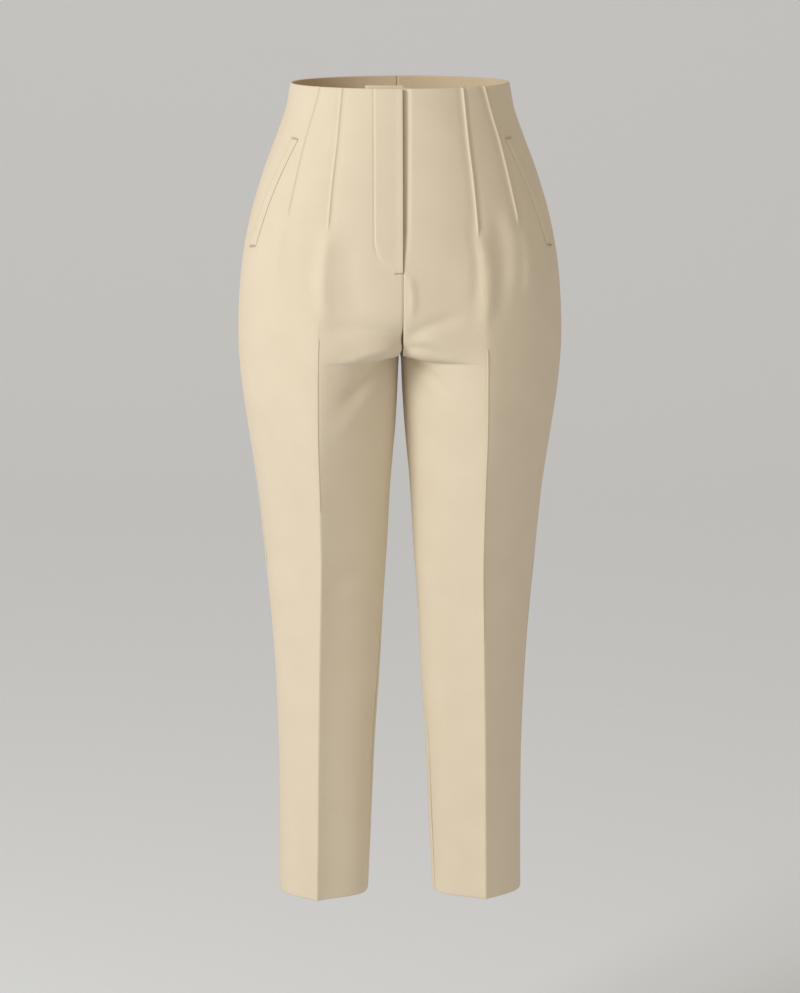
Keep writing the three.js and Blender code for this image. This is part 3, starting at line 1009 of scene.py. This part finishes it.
def stitch_row(bm, points):
    """Runs even stitches along a line of points."""
    lengths = [0.0]
    for a, b in zip(points, points[1:]):
        lengths.append(lengths[-1] + (Vector(b) - Vector(a)).length)

    def at(s):
        i = max(n for n in range(len(lengths) - 1) if lengths[n] <= s)
        t = (s - lengths[i]) / (lengths[i + 1] - lengths[i])
        return Vector(points[i]).lerp(Vector(points[i + 1]), t)

    s = 1.0
    while s + STITCH < lengths[-1]:
        add_stitch(bm, at(s), at(s + STITCH), THREAD_WIDTH)
        s += STITCH + STITCH_GAP


def bar_tack(bm, hand, middle, half, angle, out):
    """Close threads across a short bar, at an angle from level, in degrees, out from the cloth."""
    along = heading(angle)
    across = heading(angle + 90)
    for k in range(round(2 * half / TACK_PITCH) + 1):
        place = Vector(middle) + along * (-half + TACK_PITCH * k)
        ends = [place + across * s for s in (-TACK_REACH, TACK_REACH)]
        add_stitch(bm, *[on_front(hand, e.x, e.y, out) for e in ends], TACK_THREAD)


bm = bmesh.new()
turns = [math.radians(90 * k / 24) for k in range(25)]
j_line = [(FLY_WIDTH, -1.0 + (FLY_BEND + 1.0) * k / 60) for k in range(61)]
j_line += [
    (FLY_WIDTH * math.cos(a), FLY_BEND + (FLY_END - FLY_BEND) * math.sin(a)) for a in turns[1:]
]
stitch_row(bm, [on_front("right", max(x, 1.0), z, 0.12) for x, z in j_line])
bar_tack(bm, "right", (5.5, FLY_END), 4.5, 0, 0.3)
for hand in ("left", "right"):
    for end, past, angle in (("topZ", 1, 10), ("lowZ", -1, -20)):
        middle = (welt_middle(WELT[end]), WELT[end] + past)
        bar_tack(bm, hand, middle, 3.2, angle, WELT_RISE + WELT_CROWN + 0.05)
stitches = bmesh_object("stitches", bm, THREAD)
print(len(stitches.data.polygons), "stitch faces")

# %% [markdown]
# Every piece rides on the one body and stands for its solid, whose part is hidden. Each sheet's flat
# size, the widest cut across with the seam allowances by the length down, is worked out but not used.

ALLOWANCE = 10.0
WELT_FLAT_LENGTH = 140.0
TAPE_FLAT = (30.0, 200.0)
WIDEST_AT = (-200, -250, -300, -312.9, -330)


def declare(obj, node, slot, width, length):
    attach(obj, "root")
    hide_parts(node)


for name, obj in panels.items():
    face = name.split("_")[0]
    widest = max(cut(face, z).along(1) for z in WIDEST_AT)
    declare(obj, name, "twill", widest + 2 * ALLOWANCE, LENGTH + HEM_DEPTH + ALLOWANCE)
for name, obj in facings.items():
    girth = cut(name.split("_")[1], -FACING_DEPTH).along(1)
    declare(obj, name, "facing", girth + 2 * ALLOWANCE, FACING_DEPTH + ALLOWANCE)
for hand, obj in hems.items():
    girth = cut("front", -LENGTH).along(1) + cut("back", -LENGTH).along(1)
    declare(obj, "hem_" + hand, "facing", girth + ALLOWANCE, HEM_DEPTH + ALLOWANCE)
for hand, obj in welts.items():
    width, length = 2 * WELT_WIDTH + ALLOWANCE, WELT_FLAT_LENGTH + ALLOWANCE
    declare(obj, "pocket_welt_" + hand, "twill", width, length)
declare(fly_facing, "fly_facing", "facing", FLY_WIDTH + ALLOWANCE, -FLY_END + ALLOWANCE)
shield_width = SHIELD_RIGHT - SHIELD_LEFT
declare(fly_shield, "fly_shield", "twill", shield_width + ALLOWANCE, -FLY_END + ALLOWANCE)
declare(zip_tape, "fly_zip", "zip_tape", *TAPE_FLAT)
for obj, node in ((zip_slider, "zip_slider"), (zip_tab, "zip_pull_tab")):
    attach(obj, "root")
    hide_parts(node)
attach(zip_teeth, "root")
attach(stitches, "root")
